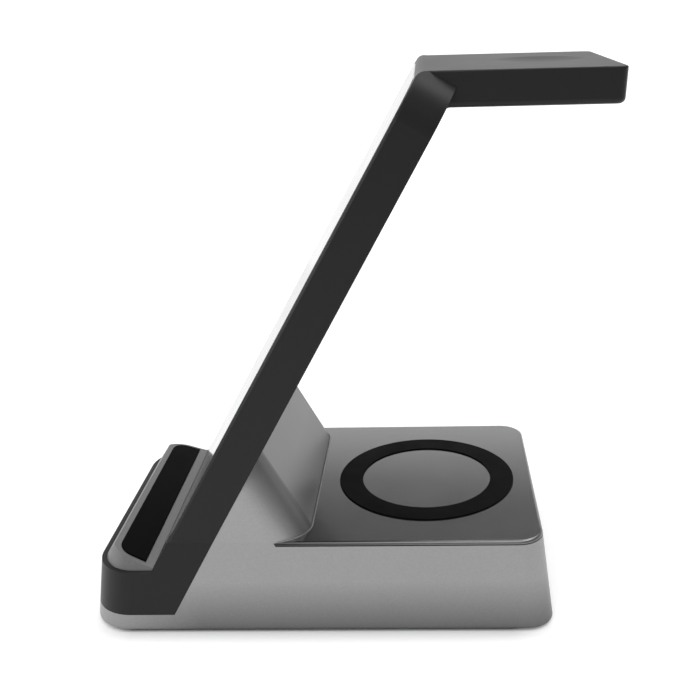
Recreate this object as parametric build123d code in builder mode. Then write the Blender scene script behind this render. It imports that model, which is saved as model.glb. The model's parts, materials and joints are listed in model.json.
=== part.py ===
from build123d import *
from math import atan, cos, degrees, pi, radians, sin, sqrt, tan
import os

os.makedirs("parts", exist_ok=True)

# Base: tapered housing, closed from below, with a plate on top
base_front = -81.9
base_rear = 65.5
base_width = 93.2
front_corner = 13.0
rear_corner = 8.0
base_draft = 7.0
ground_gap = 0.6
base_wall = 2.2
bottom_round = 1.0
platform_height = 30.0
plate_thickness = 1.4
plate_round = 0.9
plate_seam = 0.3
top_wall = 1.8
incline_foot = -10.8
incline_angle = 61.5
incline_round = 11.0
seat_wall = 2.6

# Bottom cover, feet and the screws that hold the cover
cover_lift = 0.2
cover_thickness = 2.0
cover_gap = 0.15
foot_radius = 6.0
foot_recess = 0.6
foot_side_inset = 12.6
foot_end_inset = 12.7
boss_radius = 3.6
boss_side_inset = 10.6
boss_front_inset = 11.3
boss_rear_inset = 29.2
base_screw_radius = 1.25
base_screw_length = 8.0
screw_head_radius = 2.3
screw_head_height = 1.2
thread_gap = 0.05
shank_gap = 0.2

# Stand frame: toe, leaning slab and arm
toe_bottom = 6.0
toe_rim = 20.2
slab_front = -72.2
slab_angle = 60.0
slab_back = -57.5
slab_back_angle = 60.5
slab_crown_rise = 3.06
slab_corner = 16.0
slab_bevel = 0.7
slab_bend = 3.0
arm_top = 169.0
arm_thickness = 10.0
arm_width = 68.6
arm_reach = 49.54
arm_corner = 3.0
arm_draft = 2.5
arm_round = 1.6
arm_edge = 0.5
gusset_radius = 3.0
dish_inset = 20.3
dish_radius = 14.0
dish_depth = 0.7

# Ledge tray and its pad
tray_seat = 13.0
toe_front_wall = 1.6
toe_side_wall = 1.5
tray_lean = 2.4
tray_front_lean = 4.2
tray_height = 26.2
tray_slope = 22.0
tray_gap = 0.12
ledge_pad_start = 1.9
ledge_pad_width = 9.6
ledge_pad_margin = 1.6
ledge_pad_recess = 1.0
ledge_pad_proud = 0.5
ledge_pad_corner = 5.5

# Charging panel and what lies behind it
panel_margin = 1.9
panel_bottom = 27.5
panel_top_margin = 2.5
panel_corner = 13.0
panel_thickness = 1.8
panel_proud = 0.15
panel_gap = 0.15
panel_seat = 2.0
slab_hollow = 8.4
phone_coil_radius = 23.0
phone_coil_hole = 10.0
phone_coil_thickness = 1.4
phone_coil_low = 72.0
phone_coil_gap = 2.0
phone_ferrite_size = 48.0
phone_ferrite_thickness = 1.0
carrier_side = 5.0
carrier_margin = 3.0
carrier_plate = 1.6
carrier_rail = 4.0

# Watch charger in the arm
arm_wall = 3.0
arm_skin = 1.6
arm_cover_thickness = 1.6
arm_cover_gap = 0.15
arm_cover_seat = 1.6
arm_cover_inset = 6.26
arm_cover_corner = 2.5
watch_coil_radius = 12.0
watch_coil_hole = 5.6
watch_coil_thickness = 1.6
watch_ferrite_radius = 13.0
watch_ferrite_thickness = 1.0
watch_magnet_radius = 4.6
watch_magnet_gap = 0.2
watch_board_width = 20.0
watch_board_inset = 6.0
watch_board_length = 22.0
watch_board_thickness = 1.0
watch_post_height = 1.8
watch_post_radius = 1.6
arm_screw_radius = 0.9
arm_screw_length = 4.0
arm_screw_head = 1.7
arm_screw_head_height = 0.8
arm_boss_radius = 2.4
arm_boss_inset = 5.0

# Earbud pad and coil
ring_inset = 39.8
ring_outer = 30.0
ring_inner = 22.0
ring_recess = 0.8
ring_proud = 0.4
earbud_coil_radius = 22.0
earbud_coil_hole = 9.0
earbud_coil_thickness = 1.0
earbud_ferrite_radius = 23.0
earbud_window = 26.5
holder_radius = 29.0
holder_thickness = 1.6
holder_notch = 2.0

# Electronics in the base
board_width = 56.0
board_length = 49.2
board_rear_gap = 0.8
board_thickness = 1.6
post_height = 4.2
post_radius = 2.5
post_inset = 3.4
board_screw_radius = 1.0
board_screw_length = 4.0
board_screw_head = 1.9
board_screw_head_height = 1.2
socket_width = 8.94
socket_height = 3.26
socket_depth = 7.35
socket_skin = 0.3
socket_gap = 0.25
tongue_width = 6.7
tongue_height = 0.7
lead_socket_width = 6.0
lead_socket_depth = 5.0
lead_socket_height = 3.4
lead_pitch = 8.0
watch_lead_radius = 0.8
lead_window = 30.0
lead_window_height = 8.0
lead_exit_rise = 5.5
lead_bend = 3.0
frame_screw_radius = 1.5
frame_screw_head = 2.9
frame_screw_length = 11.0
frame_screw_inner = 16.0
frame_screw_inset = 12.6
controller_size = 7.0
controller_height = 0.9
driver_size = 5.5
driver_height = 1.0
driver_pitch = 18.0
inductor_size = 7.0
inductor_height = 3.0
inductor_pitch = 16.5
capacitor_size = 2.8
capacitor_height = 1.8
capacitor_pitch = 8.0
capacitor_row = 4.2
component_row = 13.0
past = 5.0


def lean(height):
    return (height - ground_gap) * tan(radians(base_draft))


def front_y(height):
    return slab_front + height / tan(radians(slab_angle))


def back_y(height):
    return slab_back + height / tan(radians(slab_back_angle))


def incline_y(height):
    return incline_foot - (height - platform_height) / tan(radians(incline_angle))


def plate_front_y(height):
    return incline_y(height) - incline_round


def save(piece, name):
    piece.part.label = name
    export_step(piece.part, "parts/" + name + ".step")


# Levels and sizes that follow from the ones above
arm_bottom = arm_top - arm_thickness
arm_end = back_y(arm_bottom) + arm_reach
dish_center = arm_end - dish_inset
arm_cover_front = back_y(arm_bottom) + arm_cover_inset
watch_board_front = arm_cover_front + watch_board_inset
slab_crown = arm_top / sin(radians(slab_angle)) + slab_crown_rise
panel_top = arm_top / sin(radians(slab_angle)) - panel_top_margin
lead_exit = panel_bottom + lead_exit_rise
phone_coil_high = phone_coil_low + phone_ferrite_size + phone_coil_gap
carrier_width = phone_ferrite_size + 2 * carrier_side
tray_width = base_width - 2 * lean(toe_rim) - 2 * toe_side_wall
tray_front = base_front + lean(toe_rim) + toe_front_wall
tray_lip = tray_front + tray_front_lean
tray_corner = front_corner - toe_side_wall
ring_center = base_rear - ring_inset
base_length = base_rear - base_front
base_middle = (base_rear + base_front) / 2
stand_width = base_width - 2 * lean(platform_height)
panel_width = stand_width - 2 * panel_margin
plate_seat = platform_height - plate_thickness
ceiling = plate_seat - top_wall
cover_bottom = ground_gap + cover_lift
cover_top = cover_bottom + cover_thickness
slope_sum = 1 / tan(radians(incline_angle)) + 1 / tan(radians(slab_back_angle))
peak = platform_height + (incline_foot - back_y(platform_height)) / slope_sum
inner_peak = peak - 2 * seat_wall / slope_sum
arm_ceiling = arm_top - arm_skin
arm_floor = arm_bottom + arm_cover_thickness
board_bottom = cover_top + post_height
board_top = board_bottom + board_thickness
lead_height = board_top + lead_socket_height / 2
board_rear = base_rear - lean(board_top) - base_wall - board_rear_gap
board_front = board_rear - board_length
lead_radius = 0.42 * phone_coil_thickness
earbud_lead_radius = 0.45 * earbud_coil_thickness

slab_out = Vector(0, -sin(radians(slab_angle)), cos(radians(slab_angle)))
slab_plane = Plane(origin=(0, slab_front, 0), x_dir=(1, 0, 0), z_dir=slab_out)


def on_slab(across, along, depth):
    return slab_plane.from_local_coords(Vector(across, along, -depth))


# Outline of the base at a height, drawn in from its outer face by the inset
def base_outline(height, inset):
    away = lean(height) + inset
    with BuildSketch(Plane.XY.offset(height)) as outline:
        with Locations((0, base_middle)):
            Rectangle(base_width - 2 * away, base_length - 2 * away)
        fillet(outline.vertices().sort_by(Axis.Y)[:2], radius=front_corner - inset)
        fillet(outline.vertices().sort_by(Axis.Y)[-2:], radius=rear_corner - inset)
    return outline.sketch


boss_x = base_width / 2 - boss_side_inset
boss_ends = (back_y(ceiling) + boss_front_inset, base_rear - boss_rear_inset)
boss_points = [(side * boss_x, y) for side in (-1, 1) for y in boss_ends]
foot_x = base_width / 2 - foot_side_inset
foot_ends = (base_front + foot_end_inset, base_rear - foot_end_inset)
foot_points = [(side * foot_x, y) for y in foot_ends for side in (-1, 1)]
screw_level = toe_bottom + frame_screw_length / 3
frame_screw_y = (front_y(screw_level) + back_y(screw_level)) / 2
frame_screw_columns = (frame_screw_inner, base_width / 2 - frame_screw_inset)
frame_screw_points = [(side * x, frame_screw_y) for side in (-1, 1) for x in frame_screw_columns]

# Tapered block that the housing, the toe and the root of the slab are cut from
with BuildPart() as base_form:
    loft([base_outline(ground_gap, 0), base_outline(platform_height, 0)], ruled=True)
    fillet(base_form.faces().sort_by(Axis.Z)[0].edges(), radius=bottom_round)

# Wedge that backs the slab, its two sloping edges rounded
with BuildPart() as wedge_form:
    with BuildSketch(Plane.YZ):
        with BuildLine():
            Polyline(
                (back_y(toe_bottom), toe_bottom),
                (back_y(peak), peak),
                (incline_y(toe_bottom), toe_bottom),
                close=True,
            )
        make_face()
    extrude(amount=stand_width / 2, both=True)
    fillet(
        wedge_form.faces().sort_by(Axis.Y)[-1].edges().filter_by(Axis.X, reverse=True),
        radius=incline_round,
    )

# Hollow of the base behind the slab's seat, with the hollow of the wedge above it
with BuildPart() as base_hollow:
    loft([base_outline(cover_top, base_wall), base_outline(ceiling, base_wall)], ruled=True)
    with BuildSketch(Plane.YZ):
        with BuildLine():
            Polyline(
                (back_y(cover_top) + seat_wall, cover_top),
                (back_y(ceiling) + seat_wall, ceiling),
                (base_rear, ceiling),
                (base_rear, cover_top),
                close=True,
            )
        make_face()
    extrude(amount=base_width, both=True, mode=Mode.INTERSECT)
    with BuildSketch(Plane.YZ):
        with BuildLine():
            Polyline(
                (back_y(ceiling - 1) + seat_wall, ceiling - 1),
                (back_y(inner_peak) + seat_wall, inner_peak),
                (incline_y(ceiling - 1) - seat_wall, ceiling - 1),
                close=True,
            )
        make_face()
    extrude(amount=stand_width / 2 - incline_round, both=True)

with BuildPart() as base_housing:
    add(base_form.part)
    with BuildSketch(Plane.YZ):
        with BuildLine():
            Polyline(
                (plate_front_y(plate_seat), plate_seat),
                (plate_front_y(platform_height + 1), platform_height + 1),
                (base_rear + past, platform_height + 1),
                (base_rear + past, plate_seat),
                close=True,
            )
        make_face()
    extrude(amount=base_width, both=True, mode=Mode.SUBTRACT)
    add(wedge_form.part)
    with BuildSketch(Plane.YZ):
        with BuildLine():
            Polyline(
                (base_front - past, toe_bottom),
                (back_y(toe_bottom), toe_bottom),
                (back_y(peak + past), peak + past),
                (base_front - past, peak + past),
                close=True,
            )
        make_face()
    extrude(amount=base_width, both=True, mode=Mode.SUBTRACT)
    cover_room = [base_outline(ground_gap, base_wall), base_outline(cover_top, base_wall)]
    loft(cover_room, ruled=True, mode=Mode.SUBTRACT)
    add(base_hollow.part, mode=Mode.SUBTRACT)
    # Screw posts for the cover
    with BuildSketch(Plane.XY.offset(cover_top)):
        with Locations(*boss_points):
            Circle(boss_radius)
    extrude(amount=ceiling - cover_top + 0.5)
    with BuildSketch(Plane.XY.offset(cover_top)):
        with Locations(*boss_points):
            Circle(base_screw_radius + thread_gap)
    extrude(amount=base_screw_length, mode=Mode.SUBTRACT)
    # Window over the earbud coil
    with BuildSketch(Plane.XY.offset(ceiling - 1)):
        with Locations((0, ring_center)):
            Circle(earbud_window)
    extrude(amount=top_wall + 2, mode=Mode.SUBTRACT)
    # Way for the leads from the slab
    with BuildSketch(slab_plane.offset(-slab_hollow)):
        with Locations((0, lead_exit)):
            Rectangle(lead_window, lead_window_height)
    extrude(amount=-slab_hollow - seat_wall, mode=Mode.SUBTRACT)
    # Inlet in the rear wall
    with BuildSketch(Plane.XZ.offset(-base_rear - 1)):
        with Locations((0, board_top + socket_height / 2)):
            SlotOverall(socket_width + 2 * socket_gap, socket_height + 2 * socket_gap)
    extrude(amount=2 * base_wall + 4, mode=Mode.SUBTRACT)
    # Sunk holes for the screws of the frame
    with BuildSketch(Plane.XY.offset(cover_top)):
        with Locations(*frame_screw_points):
            Circle(frame_screw_head + shank_gap)
    extrude(amount=frame_screw_head - frame_screw_radius, taper=45, mode=Mode.SUBTRACT)
    with BuildSketch(Plane.XY.offset(cover_top)):
        with Locations(*frame_screw_points):
            Circle(frame_screw_radius + shank_gap)
    extrude(amount=toe_bottom - cover_top + 1, mode=Mode.SUBTRACT)
save(base_housing, "base_housing")

with BuildPart() as platform_plate:
    plate_edge = [base_outline(plate_seat + plate_seam, 0), base_outline(platform_height, 0)]
    loft([base_outline(plate_seat, plate_seam), *plate_edge], ruled=True)
    fillet(platform_plate.faces().sort_by(Axis.Z)[-1].edges(), radius=plate_round)
    with BuildSketch(Plane.YZ):
        with BuildLine():
            Polyline(
                (base_front - past, plate_seat - 1),
                (plate_front_y(plate_seat - 1), plate_seat - 1),
                (plate_front_y(platform_height + 1), platform_height + 1),
                (base_front - past, platform_height + 1),
                close=True,
            )
        make_face()
    extrude(amount=base_width, both=True, mode=Mode.SUBTRACT)
    add(wedge_form.part, mode=Mode.SUBTRACT)
    with BuildSketch(Plane.XY.offset(platform_height)):
        with Locations((0, ring_center)):
            Circle(ring_outer)
            Circle(ring_inner, mode=Mode.SUBTRACT)
    extrude(amount=-ring_recess, mode=Mode.SUBTRACT)
save(platform_plate, "platform_plate")

with BuildPart() as ring_pad:
    with BuildSketch(Plane.XY.offset(platform_height - ring_recess)):
        with Locations((0, ring_center)):
            Circle(ring_outer)
            Circle(ring_inner, mode=Mode.SUBTRACT)
    extrude(amount=ring_recess + ring_proud)
    fillet(ring_pad.faces().sort_by(Axis.Z)[-1].edges(), radius=ring_proud / 2)
save(ring_pad, "ring_pad")

with BuildPart() as bottom_cover:
    cover_inset = base_wall + cover_gap
    loft([base_outline(cover_bottom, cover_inset), base_outline(cover_top, cover_inset)], ruled=True)
    # Posts under the main board
    post_x = board_width / 2 - post_inset
    post_points = [
        (side * post_x, y) for side in (-1, 1) for y in (board_front + post_inset, board_rear - post_inset)
    ]
    with BuildSketch(Plane.XY.offset(cover_top)):
        with Locations(*post_points):
            Circle(post_radius)
    extrude(amount=post_height)
    with BuildSketch(Plane.XY.offset(board_bottom)):
        with Locations(*post_points):
            Circle(board_screw_radius + thread_gap)
    extrude(amount=-board_screw_length, mode=Mode.SUBTRACT)
    # Recesses for the feet and the screw heads
    with BuildSketch(Plane.XY.offset(cover_bottom)):
        with Locations(*foot_points):
            Circle(foot_radius)
    extrude(amount=foot_recess, mode=Mode.SUBTRACT)
    with BuildSketch(Plane.XY.offset(cover_bottom)):
        with Locations(*boss_points):
            Circle(screw_head_radius + shank_gap)
    extrude(amount=screw_head_height, mode=Mode.SUBTRACT)
    with BuildSketch(Plane.XY.offset(cover_bottom)):
        with Locations(*boss_points):
            Circle(base_screw_radius + shank_gap)
    extrude(amount=cover_thickness, mode=Mode.SUBTRACT)
save(bottom_cover, "bottom_cover")

for number, (x, y) in enumerate(foot_points, start=1):
    with BuildPart() as rubber_foot:
        with BuildSketch():
            with Locations((x, y)):
                Circle(foot_radius)
        extrude(amount=cover_bottom + foot_recess)
        fillet(rubber_foot.faces().sort_by(Axis.Z)[0].edges(), radius=cover_bottom / 2)
    save(rubber_foot, "rubber_foot_" + str(number))

with BuildPart() as base_screws:
    with BuildSketch(Plane.XY.offset(cover_bottom)):
        with Locations(*boss_points):
            Circle(screw_head_radius)
    extrude(amount=screw_head_height)
    with BuildSketch(Plane.XY.offset(cover_bottom + screw_head_height)):
        with Locations(*boss_points):
            Circle(base_screw_radius)
    extrude(amount=base_screw_length)
    with BuildSketch(Plane.XY.offset(cover_bottom)):
        with Locations(*boss_points):
            Rectangle(screw_head_radius, screw_head_radius / 4)
            Rectangle(screw_head_radius / 4, screw_head_radius)
    extrude(amount=screw_head_height / 2, mode=Mode.SUBTRACT)
save(base_screws, "base_screws")

with BuildPart() as frame_screws:
    with BuildSketch(Plane.XY.offset(cover_top)):
        with Locations(*frame_screw_points):
            Circle(frame_screw_head)
    extrude(amount=frame_screw_head - frame_screw_radius, taper=45)
    with BuildSketch(Plane.XY.offset(cover_top)):
        with Locations(*frame_screw_points):
            Circle(frame_screw_radius)
    extrude(amount=frame_screw_length)
    with BuildSketch(Plane.XY.offset(cover_top)):
        with Locations(*frame_screw_points):
            Rectangle(frame_screw_head, frame_screw_head / 4)
            Rectangle(frame_screw_head / 4, frame_screw_head)
    extrude(amount=(frame_screw_head - frame_screw_radius) / 2, mode=Mode.SUBTRACT)
save(frame_screws, "frame_screws")

# Slab seen square on: rounded at the top, with a bevel along its front edge
outline_length = slab_crown + 4 * slab_corner
with BuildPart() as slab_outline:
    with BuildSketch(slab_plane.offset(-slab_bevel)):
        with Locations((0, slab_crown - outline_length / 2)):
            RectangleRounded(stand_width, outline_length, slab_corner)
    extrude(amount=-4 * slab_corner)
    with BuildSketch(slab_plane.offset(-slab_bevel)):
        with Locations((0, slab_crown - outline_length / 2)):
            RectangleRounded(stand_width, outline_length, slab_corner)
    extrude(amount=slab_bevel, taper=45)

# Slab seen from the side, bent over at the top
with BuildPart() as slab_form:
    with BuildSketch(Plane.YZ) as slab_side:
        with BuildLine():
            Polyline(
                (front_y(toe_bottom), toe_bottom),
                (front_y(arm_top), arm_top),
                (back_y(arm_top), arm_top),
                (back_y(toe_bottom), toe_bottom),
                close=True,
            )
        make_face()
        fillet(slab_side.vertices().sort_by(Axis.Y)[-2:].sort_by(Axis.X)[0], radius=slab_bend)
    extrude(amount=stand_width, both=True)
    add(slab_outline.part, mode=Mode.INTERSECT)

# Root of the slab, as wide as the base beside it
with BuildPart() as root_form:
    add(base_form.part)
    with BuildSketch(Plane.YZ):
        with BuildLine():
            Polyline(
                (front_y(toe_bottom), toe_bottom),
                (front_y(platform_height), platform_height),
                (back_y(platform_height), platform_height),
                (back_y(toe_bottom), toe_bottom),
                close=True,
            )
        make_face()
    extrude(amount=base_width, both=True, mode=Mode.INTERSECT)

# Arm, drawn in at the bottom on its three free sides
arm_start = front_y(arm_top) + slab_bend
arm_lean = arm_thickness * tan(radians(arm_draft))
with BuildPart() as arm_form:
    with BuildSketch(Plane.XY.offset(arm_bottom)) as arm_foot_plan:
        with Locations((0, (arm_start + arm_end - arm_lean) / 2)):
            Rectangle(arm_width - 2 * arm_lean, arm_end - arm_lean - arm_start)
        fillet(arm_foot_plan.vertices().sort_by(Axis.Y)[-2:], radius=arm_corner)
    with BuildSketch(Plane.XY.offset(arm_top)) as arm_plan:
        with Locations((0, (arm_start + arm_end) / 2)):
            Rectangle(arm_width, arm_end - arm_start)
        fillet(arm_plan.vertices().sort_by(Axis.Y)[-2:], radius=arm_corner)
    loft(ruled=True)
    fillet(arm_form.faces().sort_by(Axis.Z)[0].edges().sort_by(Axis.Y)[1:], radius=arm_round)
    fillet(arm_form.faces().sort_by(Axis.Z)[-1].edges().sort_by(Axis.Y)[1:], radius=arm_edge)

# Hollow of the arm above its cover, with posts for the cover's screws left standing
arm_rim = arm_width / 2 - arm_wall
arm_hollow_x = arm_rim - arm_cover_seat
arm_hollow_front = arm_cover_front + arm_cover_seat
arm_hollow_rear = arm_end - arm_wall - arm_cover_seat
arm_boss_points = [
    (side * (arm_hollow_x - arm_boss_inset), y)
    for side in (-1, 1)
    for y in (arm_hollow_front + arm_boss_inset, arm_hollow_rear - arm_boss_inset)
]
with BuildPart() as arm_hollow:
    with BuildSketch(Plane.XY.offset(arm_floor)) as arm_hollow_plan:
        with Locations((0, (arm_hollow_front + arm_hollow_rear) / 2)):
            Rectangle(2 * arm_hollow_x, arm_hollow_rear - arm_hollow_front)
        fillet(arm_hollow_plan.vertices(), radius=arm_cover_corner - arm_cover_seat)
        with Locations(*arm_boss_points):
            Circle(arm_boss_radius, mode=Mode.SUBTRACT)
    extrude(amount=arm_ceiling - arm_floor)

lead_top = arm_floor + watch_post_height + watch_board_thickness / 2
lead_depth = panel_thickness - panel_proud + phone_coil_thickness + phone_ferrite_thickness
lead_depth = (lead_depth + carrier_plate + slab_hollow) / 2
lead_corner = (lead_top + lead_depth * cos(radians(slab_angle))) / sin(radians(slab_angle))
channel = 3 * watch_lead_radius

with BuildPart() as stand_frame:
    # Toe, with the recess for the tray and a pocket below
    add(base_form.part)
    with BuildSketch(Plane.YZ):
        with BuildLine():
            Polyline(
                (base_front - past, toe_bottom),
                (base_front - past, toe_rim),
                (front_y(toe_rim), toe_rim),
                (front_y(toe_bottom), toe_bottom),
                close=True,
            )
        make_face()
    extrude(amount=base_width, both=True, mode=Mode.INTERSECT)
    tray_room = base_width / 2
    with BuildSketch(Plane.XY.offset(tray_seat)):
        with Locations((0, tray_front - tray_gap + tray_room / 2)):
            RectangleRounded(tray_width + 2 * tray_gap, tray_room, tray_corner + tray_gap)
    extrude(amount=toe_rim, mode=Mode.SUBTRACT)
    pocket_front = base_front + lean(tray_seat) + base_wall
    pocket_rear = front_y(toe_bottom) - base_wall
    with BuildSketch(Plane.XY.offset(toe_bottom)):
        with Locations((0, (pocket_front + pocket_rear) / 2)):
            Rectangle(tray_width - 2 * tray_corner, pocket_rear - pocket_front)
    extrude(amount=tray_seat - base_wall - toe_bottom, mode=Mode.SUBTRACT)
    add(root_form.part)
    add(slab_form.part)
    add(arm_form.part)
    # Rounded inner corner under the arm
    corner_y = back_y(arm_bottom)
    run = gusset_radius * tan(radians(slab_back_angle / 2))
    run_end = (
        corner_y - run * cos(radians(slab_back_angle)),
        arm_bottom - run * sin(radians(slab_back_angle)),
    )
    with BuildSketch(Plane.YZ):
        with BuildLine():
            TangentArc((corner_y + run, arm_bottom), run_end, tangent=(-1, 0))
            Line(run_end, (corner_y - 1, arm_bottom + 1))
            Line((corner_y - 1, arm_bottom + 1), (corner_y + run, arm_bottom))
        make_face()
    extrude(amount=arm_width / 2 - arm_lean - arm_round, both=True)
    # Dish for the watch
    dish_ball = (dish_radius**2 + dish_depth**2) / (2 * dish_depth)
    with Locations((0, dish_center, arm_top - dish_depth + dish_ball)):
        Sphere(dish_ball, mode=Mode.SUBTRACT)
    # Rebate for the panel and the hollow behind it
    panel_length = panel_top - panel_bottom
    panel_middle = (panel_top + panel_bottom) / 2
    with BuildSketch(slab_plane):
        with Locations((0, panel_middle)):
            RectangleRounded(
                panel_width + 2 * panel_gap, panel_length + 2 * panel_gap, panel_corner + panel_gap
            )
    extrude(amount=panel_proud - panel_thickness, mode=Mode.SUBTRACT)
    with BuildSketch(slab_plane):
        with Locations((0, panel_middle)):
            RectangleRounded(
                panel_width - 2 * panel_seat, panel_length - 2 * panel_seat, panel_corner - panel_seat
            )
    extrude(amount=-slab_hollow, mode=Mode.SUBTRACT)
    # Way for the leads into the base
    with BuildSketch(slab_plane.offset(-slab_hollow + 1)):
        with Locations((0, lead_exit)):
            Rectangle(lead_window, lead_window_height)
    extrude(amount=-2 * slab_hollow, mode=Mode.SUBTRACT)
    # Way for the watch lead from the arm into the slab
    with BuildSketch(slab_plane.offset(channel - lead_depth)):
        with Locations((0, (panel_top - 2 * panel_seat + lead_corner + channel) / 2)):
            Rectangle(2 * channel, lead_corner + channel - panel_top + 2 * panel_seat)
    extrude(amount=-2 * channel, mode=Mode.SUBTRACT)
    with BuildSketch(Plane.XY.offset(lead_top - channel)):
        with Locations((0, (on_slab(0, lead_corner, lead_depth).Y + arm_hollow_front) / 2)):
            Rectangle(2 * channel, arm_hollow_front + 2 - on_slab(0, lead_corner, lead_depth).Y)
    extrude(amount=2 * channel, mode=Mode.SUBTRACT)
    # Hollow and cover seat of the arm
    with BuildSketch(Plane.XY.offset(arm_bottom)) as arm_seat_plan:
        with Locations((0, (arm_cover_front + arm_end - arm_wall) / 2)):
            Rectangle(2 * arm_rim, arm_end - arm_wall - arm_cover_front)
        fillet(arm_seat_plan.vertices(), radius=arm_cover_corner)
    extrude(amount=arm_cover_thickness, mode=Mode.SUBTRACT)
    add(arm_hollow.part, mode=Mode.SUBTRACT)
    with BuildSketch(Plane.XY.offset(arm_floor)):
        with Locations(*arm_boss_points):
            Circle(arm_screw_radius + thread_gap)
    extrude(amount=arm_screw_length, mode=Mode.SUBTRACT)
    # Screw holes in the root
    with BuildSketch(Plane.XY.offset(toe_bottom)):
        with Locations(*frame_screw_points):
            Circle(frame_screw_radius + thread_gap)
    extrude(amount=frame_screw_length, mode=Mode.SUBTRACT)
save(stand_frame, "stand_frame")

with BuildPart() as arm_cover:
    with BuildSketch(Plane.XY.offset(arm_bottom)) as arm_cover_plan:
        with Locations((0, (arm_cover_front + arm_end - arm_wall) / 2)):
            Rectangle(
                2 * (arm_rim - arm_cover_gap),
                arm_end - arm_wall - arm_cover_front - 2 * arm_cover_gap,
            )
        fillet(arm_cover_plan.vertices(), radius=arm_cover_corner - arm_cover_gap)
    extrude(amount=arm_cover_thickness)
    # Posts under the watch board
    watch_post_points = [
        (side * (watch_board_width / 2 - 2 * watch_post_radius), y)
        for side in (-1, 1)
        for y in (
            watch_board_front + 2 * watch_post_radius,
            watch_board_front + watch_board_length - 2 * watch_post_radius,
        )
    ]
    with BuildSketch(Plane.XY.offset(arm_floor)):
        with Locations(*watch_post_points):
            Circle(watch_post_radius)
    extrude(amount=watch_post_height)
    with BuildSketch(Plane.XY.offset(arm_bottom)):
        with Locations(*arm_boss_points):
            Circle(arm_screw_radius + shank_gap)
    extrude(amount=arm_cover_thickness, mode=Mode.SUBTRACT)
    with BuildSketch(Plane.XY.offset(arm_bottom)):
        with Locations(*arm_boss_points):
            Circle(arm_screw_head + shank_gap)
    extrude(amount=arm_screw_head_height, mode=Mode.SUBTRACT)
save(arm_cover, "arm_cover")

with BuildPart() as arm_cover_screws:
    with BuildSketch(Plane.XY.offset(arm_bottom)):
        with Locations(*arm_boss_points):
            Circle(arm_screw_head)
    extrude(amount=arm_screw_head_height)
    with BuildSketch(Plane.XY.offset(arm_bottom)):
        with Locations(*arm_boss_points):
            Circle(arm_screw_radius)
    extrude(amount=arm_cover_thickness + arm_screw_length)
    with BuildSketch(Plane.XY.offset(arm_bottom)):
        with Locations(*arm_boss_points):
            Rectangle(arm_screw_head, arm_screw_head / 4)
            Rectangle(arm_screw_head / 4, arm_screw_head)
    extrude(amount=arm_screw_head_height / 2, mode=Mode.SUBTRACT)
save(arm_cover_screws, "arm_cover_screws")

with BuildPart() as front_panel:
    with BuildSketch(slab_plane.offset(panel_proud)):
        with Locations((0, panel_middle)):
            RectangleRounded(panel_width, panel_length, panel_corner)
    extrude(amount=-panel_thickness)
    fillet(
        front_panel.faces().sort_by(Axis((0, 0, 0), slab_out))[-1].edges(), radius=panel_thickness / 5
    )
save(front_panel, "front_panel")

# Tray: rounded outline that leans in above the toe, cut by the sloping ledge and the slab
lip_slope = tan(radians(tray_slope))
face_slope = tan(radians(slab_angle))
tray_rear = (tray_height + tray_lip * lip_slope + slab_front * face_slope) / (face_slope + lip_slope)
tray_low = (tray_rear - slab_front) * face_slope
tray_setback = tray_gap / sin(radians(slab_angle))
tray_rise = tray_height - toe_rim
tray_draft = degrees(atan(tray_lean / tray_rise))
tray_plane = Plane(
    origin=(0, tray_lip, tray_height),
    x_dir=(1, 0, 0),
    z_dir=(0, sin(radians(tray_slope)), cos(radians(tray_slope))),
)


def pad_half(along):
    drop = along * sin(radians(tray_slope))
    return tray_width / 2 - tray_lean * (tray_rise - drop) / tray_rise - ledge_pad_margin


pad_end = ledge_pad_start + ledge_pad_width
pad_corners = [
    (-pad_half(ledge_pad_start), ledge_pad_start),
    (pad_half(ledge_pad_start), ledge_pad_start),
    (pad_half(pad_end), pad_end),
    (-pad_half(pad_end), pad_end),
]

with BuildPart() as ledge_tray:
    with BuildSketch(Plane.XY.offset(tray_seat)):
        with Locations((0, tray_front + tray_room / 2)):
            RectangleRounded(tray_width, tray_room, tray_corner)
    extrude(amount=toe_rim - tray_seat)
    with BuildSketch(Plane.XY.offset(toe_rim)):
        with Locations((0, tray_front + tray_room / 2)):
            RectangleRounded(tray_width, tray_room, tray_corner)
    extrude(amount=tray_rise + tray_lean, taper=tray_draft)
    with BuildSketch(Plane.YZ):
        with BuildLine():
            Polyline(
                (tray_front, tray_seat),
                (tray_front, toe_rim),
                (tray_lip, tray_height),
                (tray_rear - tray_setback, tray_low),
                (front_y(tray_seat) - tray_setback, tray_seat),
                close=True,
            )
        make_face()
    extrude(amount=base_width, both=True, mode=Mode.INTERSECT)
    with BuildSketch(Plane.XY.offset(tray_seat)):
        with Locations((0, (tray_front + front_y(tray_seat)) / 2)):
            Rectangle(
                tray_width - 2 * tray_corner, front_y(tray_seat) - tray_front - 2 * base_wall
            )
    extrude(amount=tray_low - tray_seat - base_wall, mode=Mode.SUBTRACT)
    with BuildSketch(tray_plane) as tray_recess:
        with BuildLine():
            Polyline(*pad_corners, close=True)
        make_face()
        fillet(tray_recess.vertices().sort_by(Axis.Y)[:2], radius=ledge_pad_corner)
    extrude(amount=-ledge_pad_recess, mode=Mode.SUBTRACT)
save(ledge_tray, "ledge_tray")

with BuildPart() as ledge_pad:
    with BuildSketch(tray_plane.offset(-ledge_pad_recess)) as pad_plan:
        with BuildLine():
            Polyline(*pad_corners, close=True)
        make_face()
        fillet(pad_plan.vertices().sort_by(Axis.Y)[:2], radius=ledge_pad_corner)
    extrude(amount=ledge_pad_recess + ledge_pad_proud)
    fillet(
        ledge_pad.faces().sort_by(Axis((0, 0, 0), tray_plane.z_dir))[-1].edges(),
        radius=ledge_pad_proud / 2,
    )
save(ledge_pad, "ledge_pad")

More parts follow.
